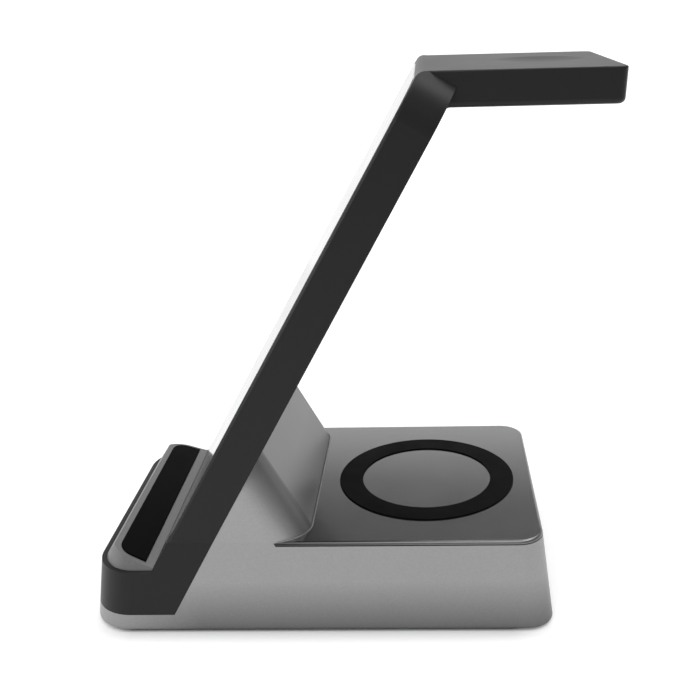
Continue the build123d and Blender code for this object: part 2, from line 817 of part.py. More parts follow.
# Coils: flat windings with a groove between neighbouring turns
coil_depth = panel_thickness - panel_proud + phone_coil_thickness
ferrite_depth = coil_depth + phone_ferrite_thickness
watch_coil_bottom = arm_ceiling - watch_coil_thickness
earbud_coil_bottom = plate_seat - earbud_coil_thickness
coils = [
    (
        "phone_coil_lower",
        Plane(origin=on_slab(0, phone_coil_low, coil_depth), x_dir=(1, 0, 0), z_dir=slab_out),
        phone_coil_radius,
        phone_coil_hole,
        phone_coil_thickness,
    ),
    (
        "phone_coil_upper",
        Plane(origin=on_slab(0, phone_coil_high, coil_depth), x_dir=(1, 0, 0), z_dir=slab_out),
        phone_coil_radius,
        phone_coil_hole,
        phone_coil_thickness,
    ),
    (
        "watch_coil",
        Plane((0, dish_center, watch_coil_bottom)),
        watch_coil_radius,
        watch_coil_hole,
        watch_coil_thickness,
    ),
    (
        "earbud_coil",
        Plane((0, ring_center, earbud_coil_bottom)),
        earbud_coil_radius,
        earbud_coil_hole,
        earbud_coil_thickness,
    ),
]
for name, place, outer, inner, thickness in coils:
    turns = int((outer - inner) / thickness)
    pitch = (outer - inner) / turns
    with BuildPart() as coil:
        with BuildSketch(place):
            Circle(outer)
            Circle(inner, mode=Mode.SUBTRACT)
        extrude(amount=thickness)
        for turn in range(1, turns):
            with BuildSketch(place):
                Circle(inner + turn * pitch + pitch / 10)
                Circle(inner + turn * pitch - pitch / 10, mode=Mode.SUBTRACT)
            extrude(amount=thickness / 4, mode=Mode.SUBTRACT)
    save(coil, name)

for name, along in (("phone_ferrite_lower", phone_coil_low), ("phone_ferrite_upper", phone_coil_high)):
    with BuildPart() as phone_ferrite:
        with BuildSketch(slab_plane.offset(-ferrite_depth)):
            with Locations((0, along)):
                RectangleRounded(phone_ferrite_size, phone_ferrite_size, panel_seat)
        extrude(amount=phone_ferrite_thickness)
    save(phone_ferrite, name)

# Bridge that carries both phone coils, with room for the watch lead below it
carrier_depth = ferrite_depth + carrier_plate
carrier_length = phone_coil_high - phone_coil_low + phone_ferrite_size + 2 * carrier_margin
carrier_middle = (phone_coil_high + phone_coil_low) / 2
rail_x = (carrier_width - carrier_rail) / 2
with BuildPart() as coil_carrier:
    with BuildSketch(slab_plane.offset(-ferrite_depth)):
        with Locations((0, carrier_middle)):
            RectangleRounded(carrier_width, carrier_length, carrier_margin)
    extrude(amount=-carrier_plate)
    with BuildSketch(slab_plane.offset(-carrier_depth)):
        with Locations((-rail_x, carrier_middle), (rail_x, carrier_middle)):
            Rectangle(carrier_rail, carrier_length - 2 * carrier_margin)
    extrude(amount=carrier_depth - slab_hollow)
save(coil_carrier, "coil_carrier")

with BuildPart() as watch_ferrite:
    with BuildSketch(Plane.XY.offset(watch_coil_bottom)):
        with Locations((0, dish_center)):
            Circle(watch_ferrite_radius)
            Circle(watch_magnet_radius + watch_magnet_gap, mode=Mode.SUBTRACT)
    extrude(amount=-watch_ferrite_thickness)
save(watch_ferrite, "watch_ferrite")

with BuildPart() as watch_magnet:
    with BuildSketch(Plane.XY.offset(arm_ceiling)):
        with Locations((0, dish_center)):
            Circle(watch_magnet_radius)
    extrude(amount=-watch_coil_thickness - watch_ferrite_thickness)
    chamfer(watch_magnet.faces().sort_by(Axis.Z)[0].edges(), length=watch_magnet_gap)
save(watch_magnet, "watch_magnet")

with BuildPart() as watch_board:
    with BuildSketch(Plane.XY.offset(arm_floor + watch_post_height)):
        with Locations((0, watch_board_front + watch_board_length / 2)):
            RectangleRounded(watch_board_width, watch_board_length, watch_post_radius)
    extrude(amount=watch_board_thickness)
save(watch_board, "watch_board")

with BuildPart() as earbud_ferrite:
    with BuildSketch(Plane.XY.offset(earbud_coil_bottom)):
        with Locations((0, ring_center)):
            Circle(earbud_ferrite_radius)
    extrude(amount=ceiling - earbud_coil_bottom)
save(earbud_ferrite, "earbud_ferrite")

earbud_lead_x = -1.5 * lead_pitch
earbud_lead_reach = (earbud_ferrite_radius + earbud_window) / 2
earbud_lead_y = ring_center - sqrt(earbud_lead_reach**2 - earbud_lead_x**2)
with BuildPart() as earbud_coil_holder:
    with BuildSketch(Plane.XY.offset(ceiling)):
        with Locations((0, ring_center)):
            Circle(holder_radius)
        with Locations((earbud_lead_x, earbud_lead_y)):
            Circle(holder_notch, mode=Mode.SUBTRACT)
    extrude(amount=-holder_thickness)
save(earbud_coil_holder, "earbud_coil_holder")

# Main board and what stands on it
with BuildPart() as main_board:
    with BuildSketch(Plane.XY.offset(board_bottom)):
        with Locations((0, (board_front + board_rear) / 2)):
            RectangleRounded(board_width, board_rear - board_front, post_inset / 2)
        with Locations(*post_points):
            Circle(board_screw_radius + shank_gap, mode=Mode.SUBTRACT)
    extrude(amount=board_thickness)
save(main_board, "main_board")

with BuildPart() as board_screws:
    with BuildSketch(Plane.XY.offset(board_top)):
        with Locations(*post_points):
            Circle(board_screw_head)
    extrude(amount=board_screw_head_height)
    with BuildSketch(Plane.XY.offset(board_top)):
        with Locations(*post_points):
            Circle(board_screw_radius)
    extrude(amount=-board_screw_length)
    with BuildSketch(Plane.XY.offset(board_top + board_screw_head_height)):
        with Locations(*post_points):
            Rectangle(board_screw_head, board_screw_head / 4)
            Rectangle(board_screw_head / 4, board_screw_head)
    extrude(amount=-board_screw_head_height / 2, mode=Mode.SUBTRACT)
save(board_screws, "board_screws")

socket_axis = board_top + socket_height / 2
socket_mouth = base_rear - lean(board_top + socket_height) - socket_gap
with BuildPart() as usb_c_socket:
    with BuildSketch(Plane.XZ.offset(-socket_mouth)):
        with Locations((0, socket_axis)):
            SlotOverall(socket_width, socket_height)
    extrude(amount=socket_depth)
    with BuildSketch(Plane.XZ.offset(-socket_mouth)):
        with Locations((0, socket_axis)):
            SlotOverall(socket_width - 2 * socket_skin, socket_height - 2 * socket_skin)
    extrude(amount=socket_depth - 3 * socket_skin, mode=Mode.SUBTRACT)
    with BuildSketch(Plane.XZ.offset(-socket_mouth + 2 * socket_skin)):
        with Locations((0, socket_axis)):
            Rectangle(tongue_width, tongue_height)
    extrude(amount=socket_depth - 3 * socket_skin)
save(usb_c_socket, "usb_c_socket")

board_middle = (board_front + board_rear) / 2
inductor_y = board_middle + component_row
capacitor_y = board_middle - component_row / 2
socket_y = board_front + socket_gap + lead_socket_depth / 2
placed = [
    ("controller_chip", [(0, board_middle)], controller_size, controller_size, controller_height),
    (
        "driver_chips",
        [(-driver_pitch, board_middle), (driver_pitch, board_middle)],
        driver_size,
        driver_size,
        driver_height,
    ),
    (
        "power_inductors",
        [(-inductor_pitch, inductor_y), (inductor_pitch, inductor_y)],
        inductor_size,
        inductor_size,
        inductor_height,
    ),
    (
        "filter_capacitors",
        [
            ((k - 1.5) * capacitor_pitch, capacitor_y - row * capacitor_row)
            for k in range(4)
            for row in (0, 1)
        ],
        capacitor_size,
        capacitor_size,
        capacitor_height,
    ),
    (
        "lead_sockets",
        [((k - 1.5) * lead_pitch, socket_y) for k in range(4)],
        lead_socket_width,
        lead_socket_depth,
        lead_socket_height,
    ),
]
for name, points, width, depth, height in placed:
    with BuildPart() as component:
        with BuildSketch(Plane.XY.offset(board_top)):
            with Locations(*points):
                Rectangle(width, depth)
        extrude(amount=height)
        chamfer(component.faces().filter_by(Axis.Z).sort_by(Axis.Z)[len(points):].edges(), length=height / 10)
    save(component, name)

# Leads: from each coil to its socket on the main board
lead_end = board_front + socket_gap
coil_layer = panel_thickness - panel_proud + phone_coil_thickness / 2


def lead_fall(depth):
    drop = on_slab(0, lead_exit, depth).Z - lead_height
    return depth + drop / cos(radians(slab_angle))


def coil_edge(across):
    return sqrt(phone_coil_radius**2 - across**2)


lower_x = -0.5 * lead_pitch
upper_x = 1.5 * lead_pitch
watch_x = 0.5 * lead_pitch
side_x = carrier_width / 2 - 2 * lead_radius
start_x = phone_coil_radius - 4 * lead_radius
earbud_coil_layer = plate_seat - earbud_coil_thickness / 2
earbud_lead_start = ring_center - sqrt(earbud_coil_radius**2 - (earbud_lead_x + earbud_lead_radius) ** 2)
leads = [
    (
        "phone_lead_lower",
        lead_radius,
        lead_bend,
        [
            on_slab(lower_x, phone_coil_low - coil_edge(lower_x + lead_radius), coil_layer),
            on_slab(lower_x, lead_exit, coil_layer),
            on_slab(lower_x, lead_exit, lead_fall(coil_layer)),
            Vector(lower_x, lead_end, lead_height),
        ],
    ),
    (
        "phone_lead_upper",
        lead_radius,
        lead_bend,
        [
            on_slab(start_x, phone_coil_high - coil_edge(start_x - lead_radius), coil_layer),
            on_slab(start_x, phone_coil_high - phone_coil_radius, coil_layer),
            on_slab(side_x, phone_coil_low + phone_coil_radius, coil_layer),
            on_slab(side_x, phone_coil_low - phone_coil_radius, coil_layer),
            on_slab(upper_x, lead_exit + 2 * lead_bend, coil_layer),
            on_slab(upper_x, lead_exit, coil_layer),
            on_slab(upper_x, lead_exit, lead_fall(coil_layer)),
            Vector(upper_x, lead_end, lead_height),
        ],
    ),
    (
        "watch_lead",
        watch_lead_radius,
        lead_bend,
        [
            Vector(0, watch_board_front, lead_top),
            Vector(0, on_slab(0, lead_corner, lead_depth).Y, lead_top),
            on_slab(0, phone_coil_low - phone_coil_radius, lead_depth),
            on_slab(watch_x, lead_exit + 2 * lead_bend, lead_depth),
            on_slab(watch_x, lead_exit, lead_depth),
            on_slab(watch_x, lead_exit, lead_fall(lead_depth)),
            Vector(watch_x, lead_end, lead_height),
        ],
    ),
    (
        "earbud_lead",
        earbud_lead_radius,
        2 * earbud_lead_radius,
        [
            Vector(earbud_lead_x, earbud_lead_start, earbud_coil_layer),
            Vector(earbud_lead_x, earbud_lead_y, earbud_coil_layer),
            Vector(earbud_lead_x, earbud_lead_y, lead_height),
            Vector(earbud_lead_x, lead_end, lead_height),
        ],
    ),
]
for name, radius, bend, points in leads:
    with BuildPart() as lead:
        with BuildLine() as route:
            FilletPolyline(*points, radius=bend)
        with BuildSketch(route.line ^ 0):
            Circle(radius)
        sweep()
    length = sum(edge.length for edge in route.edges())
    print(name, "length", round(length, 1), "by volume", round(lead.part.volume / (pi * radius**2), 1))
    save(lead, name)
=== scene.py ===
import json
import math

import bpy
import numpy as np
from mathutils import Matrix, Vector


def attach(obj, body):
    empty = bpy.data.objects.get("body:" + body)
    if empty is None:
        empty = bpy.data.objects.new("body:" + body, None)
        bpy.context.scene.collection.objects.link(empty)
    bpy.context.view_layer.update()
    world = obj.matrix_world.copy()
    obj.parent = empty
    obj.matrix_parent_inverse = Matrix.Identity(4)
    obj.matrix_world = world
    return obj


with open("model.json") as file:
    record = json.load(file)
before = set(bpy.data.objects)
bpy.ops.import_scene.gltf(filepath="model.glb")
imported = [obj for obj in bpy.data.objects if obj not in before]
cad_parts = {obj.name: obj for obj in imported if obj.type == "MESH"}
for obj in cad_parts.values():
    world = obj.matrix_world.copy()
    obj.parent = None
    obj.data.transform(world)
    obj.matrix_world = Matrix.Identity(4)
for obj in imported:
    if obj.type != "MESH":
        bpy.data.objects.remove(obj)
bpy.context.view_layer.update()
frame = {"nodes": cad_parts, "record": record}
nodes = frame["nodes"]
print("frame:", len(nodes), "nodes")


# A socket that takes part in sums: each operator adds one Math node.
class Value:
    def __init__(self, graph, socket):
        self.graph = graph
        self.socket = socket

    def math(self, operation, *others):
        return self.graph.add("ShaderNodeMath", {"operation": operation}, dict(enumerate((self, *others))))

    def turned(self, operation, other):
        return self.graph.add("ShaderNodeMath", {"operation": operation}, {0: other, 1: self})

    def __add__(self, other):
        return self.math("ADD", other)

    def __radd__(self, other):
        return self.turned("ADD", other)

    def __sub__(self, other):
        return self.math("SUBTRACT", other)

    def __rsub__(self, other):
        return self.turned("SUBTRACT", other)

    def __mul__(self, other):
        return self.math("MULTIPLY", other)

    def __rmul__(self, other):
        return self.turned("MULTIPLY", other)

    def __truediv__(self, other):
        return self.math("DIVIDE", other)

    def __rtruediv__(self, other):
        return self.turned("DIVIDE", other)

    def __pow__(self, other):
        return self.math("POWER", other)

    def __lt__(self, other):
        return self.math("LESS_THAN", other)

    def __gt__(self, other):
        return self.math("GREATER_THAN", other)

    def __abs__(self):
        return self.math("ABSOLUTE")

    def least(self, other):
        return self.math("MINIMUM", other)

    def most(self, other):
        return self.math("MAXIMUM", other)

    # 0 below low, 1 above high, a straight climb between
    def climb(self, low, high):
        return ((self - low) / (high - low)).most(0).least(1)


# One node tree. add() makes any node from its type, its settings and its sockets' values or links.
class Graph:
    def __init__(self, tree):
        self.tree = tree
        tree.nodes.clear()

    def add(self, kind, settings=None, sockets=None, out=0):
        node = self.tree.nodes.new(kind)
        for name, setting in (settings or {}).items():
            setattr(node, name, setting)
        for name, value in (sockets or {}).items():
            if isinstance(value, Value):
                self.tree.links.new(value.socket, node.inputs[name])
            else:
                node.inputs[name].default_value = value
        return Value(self, node.outputs[out]) if node.outputs else None

    def here(self):
        return self.add("ShaderNodeTexCoord", out="Object")

    def axis(self, index):
        return self.add("ShaderNodeSeparateXYZ", {}, {0: self.here()}, out=index)

    # soft noise, grain metres from one bump to the next
    def noise(self, grain, detail=2.0):
        sockets = {"Vector": self.here(), "Scale": 1 / grain, "Detail": detail}
        return self.add("ShaderNodeTexNoise", {}, sockets)

    # one random value for each cell of that size
    def cells(self, grain, feature="F1", out="Color"):
        sockets = {"Vector": self.here(), "Scale": 1 / grain}
        return self.add("ShaderNodeTexVoronoi", {"feature": feature}, sockets, out)

    def mix(self, share, first, second):
        return self.add("ShaderNodeMix", {"data_type": "RGBA"}, {0: share, 6: first, 7: second}, out=2)

    def bump(self, height, depth):
        return self.add("ShaderNodeBump", {}, {"Height": height, "Distance": depth})

    # the finished surface: one Principled shader with these sockets
    def close(self, sockets):
        shader = self.add("ShaderNodeBsdfPrincipled", {}, sockets)
        self.add("ShaderNodeOutputMaterial", {}, {"Surface": shader})


def newFinish(name):
    material = bpy.data.materials.new(name)
    material.use_nodes = True
    return material, Graph(material.node_tree)


def grey(level):
    return (level, level, level * 1.01, 1)


# Metallic grey paint with fine flakes. On the housing its colour carries painted shade: darker towards the
# foot, except at the toe, and on the incline behind the slab, most of all low down and just past its rounded
# edges.
# the dark tone that the paint is mixed towards and the foot, cove, incline and crease tones set how deep the
# painted shade goes
housingLook = {
    "dark": 0.31, "light": 0.37, "metal": 0.65, "rough": 0.38, "flake": 0.0004, "peel": 0.000004,
    "paintedShadeTone": 0.01, "shine": 0.15,
    "footHeight": 0.017, "footShadeTone": 0.38, "footFrom": -0.080, "footTo": -0.045,
    "platform": 0.030, "platformSlack": 0.0001, "sideWall": 0.042,
    "coveRise": 0.014, "coveCurve": 0.7, "coveShadeTone": 0.30, "inclineShadeTone": 0.60, "inclineGloss": 0.05,
    "crease": 0.0320, "creaseBlur": 0.0003, "creaseFade": 0.002, "creaseShadeTone": 0.62,
}
trayLook = {
    "dark": 0.20, "light": 0.24, "metal": 0.5, "rough": 0.38, "flake": 0.0004, "peel": 0.000003,
    "shine": 0.15,
}


# the paint's colour, roughness and normal: a random tone for each flake, under a slow cloud
def flakePaint(graph, look):
    flakes = graph.cells(look["flake"])
    cloud = graph.noise(0.02, 3)
    paint = graph.mix(flakes * 0.55 + cloud * 0.45, grey(look["dark"]), grey(look["light"]))
    rough = look["rough"] - 0.05 + cloud * 0.06 + flakes * 0.04
    return paint, rough, graph.bump(graph.noise(look["flake"] * 1.6, 3), look["peel"])


def housingPaint():
    look = housingLook
    material, graph = newFinish("housingPaint")
    paint, rough, normal = flakePaint(graph, look)
    side, along, height = abs(graph.axis(0)), graph.axis(1), graph.axis(2)
    # painted shade: the colour darkens towards the foot, except at the toe
    footShade = (1 - height.climb(0, look["footHeight"])) * along.climb(look["footFrom"], look["footTo"])
    foot = 1 - footShade * (1 - look["footShadeTone"])
    # only the incline lies above the platform and inside the side walls
    # painted shade and painted reflection on the incline: darkest low down by the plate and just past the
    # crease of its rounded edges
    above = height > look["platform"] - look["platformSlack"]
    fade = (1 - side.climb(look["crease"] + look["creaseFade"], look["sideWall"])) * above
    rise = (height - look["platform"]).climb(0, look["coveRise"]) ** look["coveCurve"]
    cove = rise * (look["inclineShadeTone"] - look["coveShadeTone"]) + look["coveShadeTone"]
    pastCrease = side.climb(look["crease"] - look["creaseBlur"], look["crease"] + look["creaseBlur"])
    edge = 1 - pastCrease * (1 - look["creaseShadeTone"])
    shade = 1 - fade * (1 - cove * edge)
    # the painted shade mixes the paint towards a near-black tone
    graph.close({
        "Base Color": graph.mix(foot * shade, grey(look["paintedShadeTone"]), paint),
        "Metallic": look["metal"],
        "Specular IOR Level": look["shine"],
        "Roughness": rough - fade * look["inclineGloss"],
        "Normal": normal,
    })
    return material


def trayPaint():
    look = trayLook
    material, graph = newFinish("trayPaint")
    paint, rough, normal = flakePaint(graph, look)
    graph.close({
        "Base Color": paint,
        "Metallic": look["metal"],
        "Specular IOR Level": look["shine"],
        "Roughness": rough,
        "Normal": normal,
    })
    return material


# The plate is smoother and nearly all metal. Its colour carries painted shade: near-black along the seam
# round its lower edge, and darker on its rounded edge.
plateLook = {
    "dark": 0.235, "light": 0.265, "metal": 0.95, "rough": 0.18, "flake": 0.0003, "peel": 0.0000005,
    "seamTop": 0.02895, "seamFrom": -0.010, "seamShadeTone": 0.015, "seamRough": 0.3,
    "edgeTop": 0.02996, "edgeTo": 0.050, "edgeShadeTone": 0.03, "edgeRough": 0.15,
    "tip": -0.0215, "tipShade": 0.9, "endShade": 0.2,
}


def platePaint():
    look = plateLook
    material, graph = newFinish("platePaint")
    paint, rough, normal = flakePaint(graph, look)
    along, height = graph.axis(1), graph.axis(2)
    # painted shade in the seam, fading out towards the plate's tip
    seam = (height < look["seamTop"]) * along.climb(look["tip"], look["seamFrom"])
    # the rounded edge is rougher than the flat and darkened with painted shade, most of all by the wedge; the
    # ring's pad hides its groove
    edge = height < look["edgeTop"]
    edgeShade = look["tipShade"] - along.climb(look["tip"], look["edgeTo"]) * (look["tipShade"] - look["endShade"])
    # painted shade on the rounded edge
    wearAndShade = graph.mix(edge * edgeShade, paint, grey(look["edgeShadeTone"]))
    graph.close({
        "Base Color": graph.mix(seam, wearAndShade, grey(look["seamShadeTone"])),
        "Metallic": look["metal"],
        "Roughness": rough + edge * look["edgeRough"] + seam * look["seamRough"],
        "Normal": normal,
    })
    return material


# Charcoal moulding with a fine spark-eroded grain.
frameLook = {
    "dark": 0.009, "light": 0.012, "grain": 0.00035, "depth": 0.000004, "cloud": 0.03,
    "rough": 0.36, "roughSpread": 0.08, "shine": 0.25,
}


def charcoalMoulding():
    look = frameLook
    material, graph = newFinish("charcoalMoulding")
    grain = graph.noise(look["grain"], 4)
    cloud = graph.noise(look["cloud"], 3)
    graph.close({
        "Base Color": graph.mix(grain * 0.5 + cloud * 0.5, grey(look["dark"]), grey(look["light"])),
        "Roughness": look["rough"] + cloud * look["roughSpread"],
        "Specular IOR Level": look["shine"],
        "Normal": graph.bump(grain, look["depth"]),
    })
    return material


# Polished black face, with faint wiping marks in its gloss and a little dust.
panelLook = {
    "tone": 0.006, "haze": 0.010, "wipe": 0.012, "dust": 0.0006, "ripple": 0.004, "depth": 0.000001,
    "rough": 0.07, "wipeRough": 0.06, "dustRough": 0.1,
}


def polishedPanel():
    look = panelLook
    material, graph = newFinish("polishedPanel")
    wipes = graph.noise(look["wipe"], 4)
    dust = graph.noise(look["dust"], 1).climb(0.72, 0.78)
    graph.close({
        "Base Color": graph.mix(dust * 0.5, grey(look["tone"]), grey(look["haze"])),
        "Roughness": look["rough"] + wipes * look["wipeRough"] + dust * look["dustRough"],
        "Normal": graph.bump(graph.noise(look["ripple"], 2), look["depth"]),
    })
    return material


# Matt silicone with a bloom of fine specks.
padLook = {
    "tone": 0.001, "speck": 0.006, "speckSize": 0.0005, "bloom": 0.009, "grain": 0.00025, "depth": 0.000006,
    "rough": 0.45, "bloomRough": 0.12, "shine": 0.03,
}


def mattSilicone():
    look = padLook
    material, graph = newFinish("mattSilicone")
    grain = graph.noise(look["grain"], 3)
    bloom = graph.noise(look["bloom"], 4).climb(0.35, 0.75)
    specks = graph.noise(look["speckSize"], 1).climb(0.70, 0.76)
    graph.close({
        "Base Color": graph.mix(specks * 0.6 + bloom * 0.25, grey(look["tone"]), grey(look["speck"])),
        "Roughness": look["rough"] + bloom * look["bloomRough"],
        "Specular IOR Level": look["shine"],
        "Normal": graph.bump(grain, look["depth"]),
    })
    return material


# Plain dark moulding under the base, coarser than the frame, with a few scuffs.
coverLook = {
    "dark": 0.022, "light": 0.034, "grain": 0.0006, "depth": 0.00002, "scuff": 0.006,
    "rough": 0.6, "scuffShine": 0.1,
}


def underMoulding():
    look = coverLook
    material, graph = newFinish("underMoulding")
    grain = graph.noise(look["grain"], 4)
    scuffs = graph.noise(look["scuff"], 5).climb(0.62, 0.72)
    graph.close({
        "Base Color": graph.mix(grain * 0.7 + scuffs * 0.3, grey(look["dark"]), grey(look["light"])),
        "Roughness": look["rough"] - scuffs * look["scuffShine"],
        "Normal": graph.bump(grain, look["depth"]),
    })
    return material


# Feet: matt rubber, paler where it has worn.
rubberLook = {
    "dark": 0.012, "light": 0.035, "grain": 0.0004, "depth": 0.00001, "wear": 0.003,
    "rough": 0.75, "wornShine": 0.1,
}


def footRubber():
    look = rubberLook
    material, graph = newFinish("footRubber")
    grain = graph.noise(look["grain"], 3)
    wearAndShade = graph.noise(look["wear"], 3).climb(0.5, 0.7)
    graph.close({
        "Base Color": graph.mix(wearAndShade * 0.6 + grain * 0.2, grey(look["dark"]), grey(look["light"])),
        "Roughness": look["rough"] - wearAndShade * look["wornShine"],
        "Normal": graph.bump(grain, look["depth"]),
    })
    return material


# Enamelled wire: strands laid side by side, with painted shade between them.
copperLook = {
    "deep": (0.50, 0.20, 0.075, 1), "bright": (0.72, 0.33, 0.14, 1), "strandShade": (0.20, 0.07, 0.03, 1),
    "strand": 0.00018, "depth": 0.00002, "tint": 0.004, "rough": 0.24, "roughSpread": 0.16, "enamel": 0.5,
}


def enamelledCopper():
    look = copperLook
    material, graph = newFinish("enamelledCopper")
    strands = graph.noise(look["strand"], 2)
    tint = graph.noise(look["tint"], 2)
    copper = graph.mix(tint, look["deep"], look["bright"])
    graph.close({
        # painted shade between the strands
        "Base Color": graph.mix(strands.climb(0.3, 0.6), look["strandShade"], copper),
        "Metallic": 1.0,
        "Roughness": look["rough"] + tint * look["roughSpread"],
        "Coat Weight": look["enamel"],
        "Normal": graph.bump(strands, look["depth"]),
    })
    return material


ferriteLook = {
    "dark": 0.035, "light": 0.085, "metal": 0.2, "grain": 0.0002, "pit": 0.0012, "depth": 0.00002,
    "rough": 0.6, "roughSpread": 0.15,
}


def sinteredFerrite():
    look = ferriteLook
    material, graph = newFinish("sinteredFerrite")
    grain = graph.noise(look["grain"], 4)
    pits = graph.noise(look["pit"], 2).climb(0.68, 0.74)
    graph.close({
        "Base Color": graph.mix(grain, grey(look["dark"]), grey(look["light"])),
        "Metallic": look["metal"],
        "Roughness": look["rough"] + grain * look["roughSpread"],
        "Normal": graph.bump(grain - pits * 0.8, look["depth"]),
    })
    return material


carrierLook = {
    "dark": (0.66, 0.65, 0.60, 1), "light": (0.78, 0.77, 0.73, 1), "flow": 0.012,
    "grain": 0.0004, "depth": 0.000008, "rough": 0.42, "roughSpread": 0.14,
}


def whiteCarrier():
    look = carrierLook
    material, graph = newFinish("whiteCarrier")
    flow = graph.noise(look["flow"], 4)
    grain = graph.noise(look["grain"], 3)
    graph.close({
        "Base Color": graph.mix(flow, look["dark"], look["light"]),
        "Roughness": look["rough"] + grain * look["roughSpread"],
        "Normal": graph.bump(grain, look["depth"]),
    })
    return material


nickelLook = {
    "dark": 0.56, "light": 0.68, "scratch": 0.0009, "depth": 0.000003, "rough": 0.16, "roughSpread": 0.16,
}


def nickelPlating():
    look = nickelLook
    material, graph = newFinish("nickelPlating")
    scratches = graph.noise(look["scratch"], 5)
    graph.close({
        "Base Color": graph.mix(scratches, grey(look["dark"]), grey(look["light"])),
        "Metallic": 1.0,
        "Roughness": look["rough"] + scratches * look["roughSpread"],
        "Normal": graph.bump(scratches, look["depth"]),
    })
    return material


# Solder mask over copper: along the borders of the cells the mask lies over a track.
maskLook = {
    "mask": (0.012, 0.085, 0.042, 1), "track": (0.035, 0.17, 0.085, 1), "speck": (0.01, 0.05, 0.03, 1),
    "pitch": 0.0045, "grain": 0.0005, "depth": 0.00002, "rough": 0.3, "roughSpread": 0.12,
}


def solderMask():
    look = maskLook
    material, graph = newFinish("solderMask")
    gaps = graph.cells(look["pitch"], "DISTANCE_TO_EDGE", "Distance")
    tracks = 1 - gaps.climb(0.04, 0.07)
    grain = graph.noise(look["grain"], 3)
    mask = graph.mix(tracks, look["mask"], look["track"])
    graph.close({
        "Base Color": graph.mix(grain * 0.25, mask, look["speck"]),
        "Roughness": look["rough"] + grain * look["roughSpread"],
        "Normal": graph.bump(tracks, look["depth"]),
    })
    return material


chipLook = {
    "dark": 0.013, "light": 0.030, "grain": 0.00025, "depth": 0.00001, "rough": 0.5, "roughSpread": 0.2,
}


def chipEpoxy():
    look = chipLook
    material, graph = newFinish("chipEpoxy")
    grain = graph.noise(look["grain"], 4)
    graph.close({
        "Base Color": graph.mix(grain, grey(look["dark"]), grey(look["light"])),
        "Roughness": look["rough"] + grain * look["roughSpread"],
        "Normal": graph.bump(grain, look["depth"]),
    })
    return material


ceramicLook = {
    "dark": (0.34, 0.22, 0.12, 1), "light": (0.50, 0.35, 0.21, 1), "grain": 0.0003, "depth": 0.000008,
    "rough": 0.4, "roughSpread": 0.15,
}


def firedCeramic():
    look = ceramicLook
    material, graph = newFinish("firedCeramic")
    grain = graph.noise(look["grain"], 4)
    graph.close({
        "Base Color": graph.mix(grain, look["dark"], look["light"]),
        "Roughness": look["rough"] + grain * look["roughSpread"],
        "Normal": graph.bump(grain, look["depth"]),
    })
    return material


zincLook = {
    "dark": 0.46, "light": 0.64, "crystal": 0.0005, "wear": 0.002, "depth": 0.000006,
    "rough": 0.22, "roughSpread": 0.18,
}


def zincSteel():
    look = zincLook
    material, graph = newFinish("zincSteel")
    crystals = graph.cells(look["crystal"])
    wear = graph.noise(look["wear"], 4)
    graph.close({
        "Base Color": graph.mix(crystals * 0.5 + wear * 0.5, grey(look["dark"]), grey(look["light"])),
        "Metallic": 1.0,
        "Roughness": look["rough"] + wear * look["roughSpread"],
        "Normal": graph.bump(wear, look["depth"]),
    })
    return material


sheathLook = {
    "dark": (0.42, 0.045, 0.035, 1), "light": (0.58, 0.085, 0.06, 1), "tint": 0.006,
    "grain": 0.0005, "depth": 0.000006, "rough": 0.36, "roughSpread": 0.12,
}


def leadSheath():
    look = sheathLook
    material, graph = newFinish("leadSheath")
    tint = graph.noise(look["tint"], 3)
    graph.close({
        "Base Color": graph.mix(tint, look["dark"], look["light"]),
        "Roughness": look["rough"] + tint * look["roughSpread"],
        "Normal": graph.bump(graph.noise(look["grain"], 3), look["depth"]),
    })
    return material


finishes = {
    "housing_grey": housingPaint(),
    "plate_grey": platePaint(),
    "tray_grey": trayPaint(),
    "frame_charcoal": charcoalMoulding(),
    "panel_black": polishedPanel(),
    "pad_black": mattSilicone(),
    "cover_dark": underMoulding(),
    "foot_rubber": footRubber(),
    "coil_copper": enamelledCopper(),
    "ferrite": sinteredFerrite(),
    "carrier_white": whiteCarrier(),
    "magnet_plating": nickelPlating(),
    "board_green": solderMask(),
    "chip_black": chipEpoxy(),
    "capacitor_tan": firedCeramic(),
    "steel": zincSteel(),
    "lead_sheath": leadSheath(),
}
for subpart in frame["record"]["subparts"]:
    for materialSlot in nodes[subpart["node"]].material_slots:
        materialSlot.material = finishes[subpart["material_slot"]]
print("finishes:", len(finishes))


# A mesh from a grid of points, rows by columns. wrapped joins the last column to the first.
def gridPiece(name, grid, finish, wrapped=False):
    rows, columns = grid.shape[:2]
    down = np.arange(rows - 1)[:, None] * columns
    across = np.arange(columns if wrapped else columns - 1)[None, :]
    here, beside = down + across, down + (across + 1) % columns
    corners = np.stack([here, beside, beside + columns, here + columns], -1)
    mesh = bpy.data.meshes.new(name)
    mesh.from_pydata(grid.reshape(-1, 3), [], corners.reshape(-1, 4))
    mesh.polygons.foreach_set("use_smooth", np.ones(len(mesh.polygons), bool))
    mesh.materials.append(finish)
    piece = bpy.data.objects.new(name, mesh)
    bpy.context.scene.collection.objects.link(piece)
    return piece


# Lip along the foot of the wedge: a fine bead swept along the line where the incline meets the plate.
# The line is straight in the middle. At each end it follows the rounded edge of the incline: the edge is a
# cylinder along the slope, and the line is where that cylinder passes through the plate's level.
lipLook = {
    "dark": 0.22, "light": 0.28, "metal": 0.7, "rough": 0.40, "flake": 0.0004, "peel": 0.000002,
    "foot": -0.0108, "level": 0.030, "slope": 61.5, "round": 0.011, "straight": 0.03199,
    "turn": 78.0, "bead": 0.00032, "out": 0.0001, "taper": 12, "steps": 40, "sides": 12,
}


